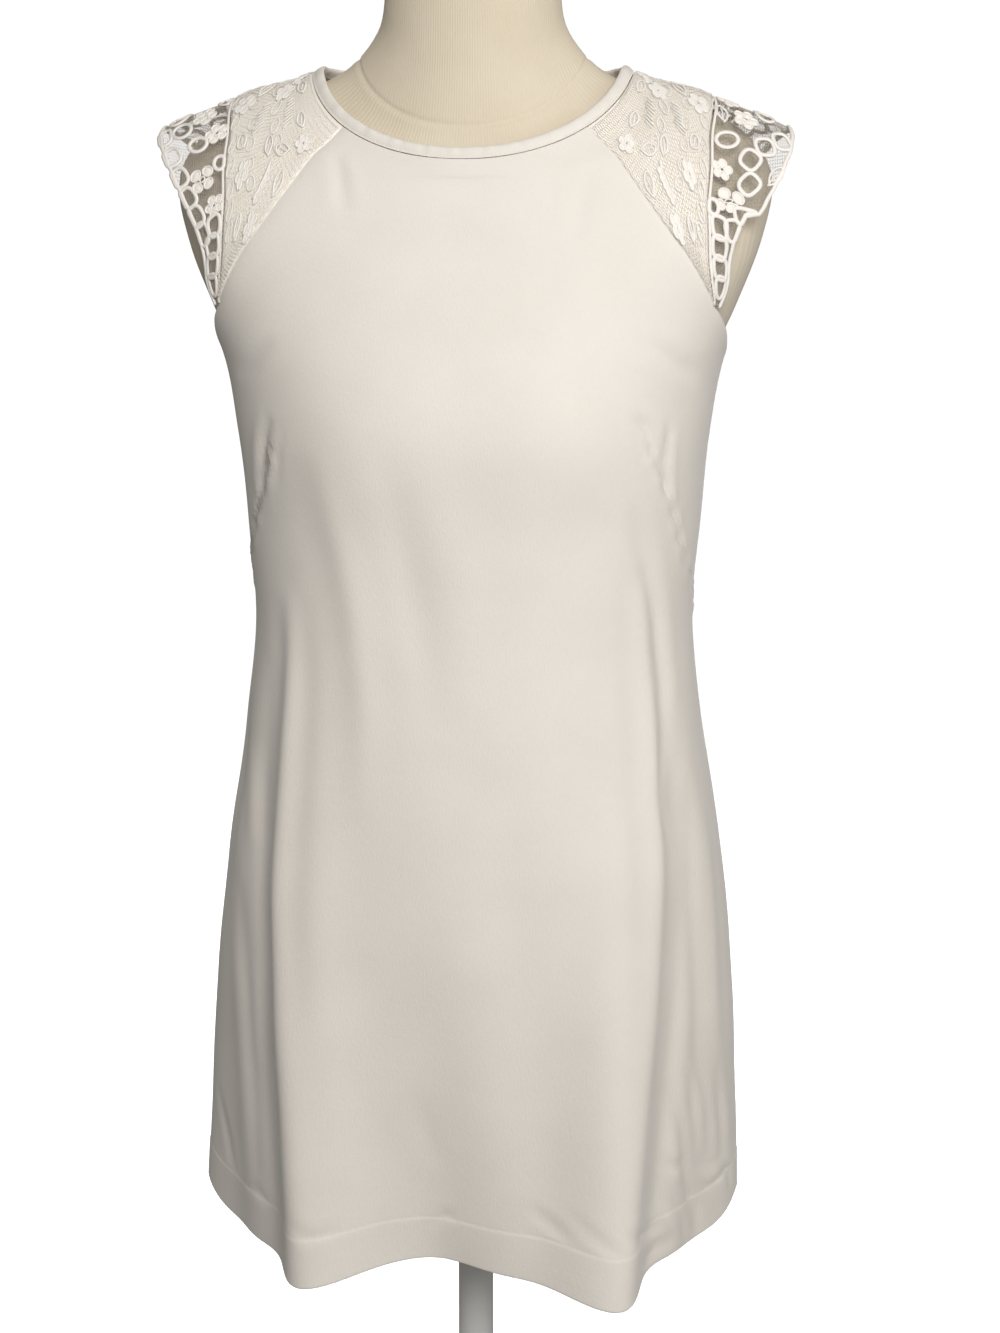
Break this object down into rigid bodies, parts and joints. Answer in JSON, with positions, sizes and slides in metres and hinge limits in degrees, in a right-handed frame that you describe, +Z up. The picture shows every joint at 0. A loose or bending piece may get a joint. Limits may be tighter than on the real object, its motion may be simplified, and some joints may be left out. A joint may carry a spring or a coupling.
{
  "type": "sheath dress on dress form",
  "caption": "Ivory knee-length sheath dress with slanting bust darts, lace shoulders and lace cap sleeves, on a limbless dress form.",
  "frame": {"origin": "on the floor at the middle of the stand's round base", "axes": "+Z up the form, -Y the way the dress faces, +X towards the wearer's left"},
  "size_m": [0.4596, 0.4, 1.4783],
  "materials": {
    "ivory_crepe": "matte crepe weave, soft drape",
    "crepe_binding": "matte crepe binding, edge stitched",
    "ivory_lining": "fine plain lining",
    "corded_lace": "corded cotton lace, matt",
    "zip_tape": "woven zip tape",
    "enamelled_zinc": "satin enamel",
    "cream_jersey": "knitted cotton jersey over a firm form",
    "dark_wood": "satin varnish",
    "painted_steel": "white powder coat, satin"
  },
  "bodies": {
    "root": {"dress_front": "ivory_crepe", "dress_back_left": "ivory_crepe", "dress_back_right": "ivory_crepe", "neck_binding": "crepe_binding", "shoulder_lining_left": "ivory_lining", "shoulder_lining_right": "ivory_lining", "shoulder_lace_left": "corded_lace", "shoulder_lace_right": "corded_lace", "cap_sleeve_left": "corded_lace", "cap_sleeve_right": "corded_lace", "zip_tape_left": "zip_tape", "zip_tape_right": "zip_tape", "zip_slider": "enamelled_zinc", "form_torso": "cream_jersey", "form_neck_cap": "dark_wood", "form_pole": "painted_steel", "form_base": "painted_steel"},
    "pull_tab": {"zip_pull_tab": "enamelled_zinc"}
  },
  "joints": [
    {"name": "pull_tab_hinge", "type": "hinge", "parent": "root", "child": "pull_tab", "pos_m": [0, 0.06794, 1.36609], "axis": [1, 0, 0], "range_deg": [0, 150]}
  ]
}
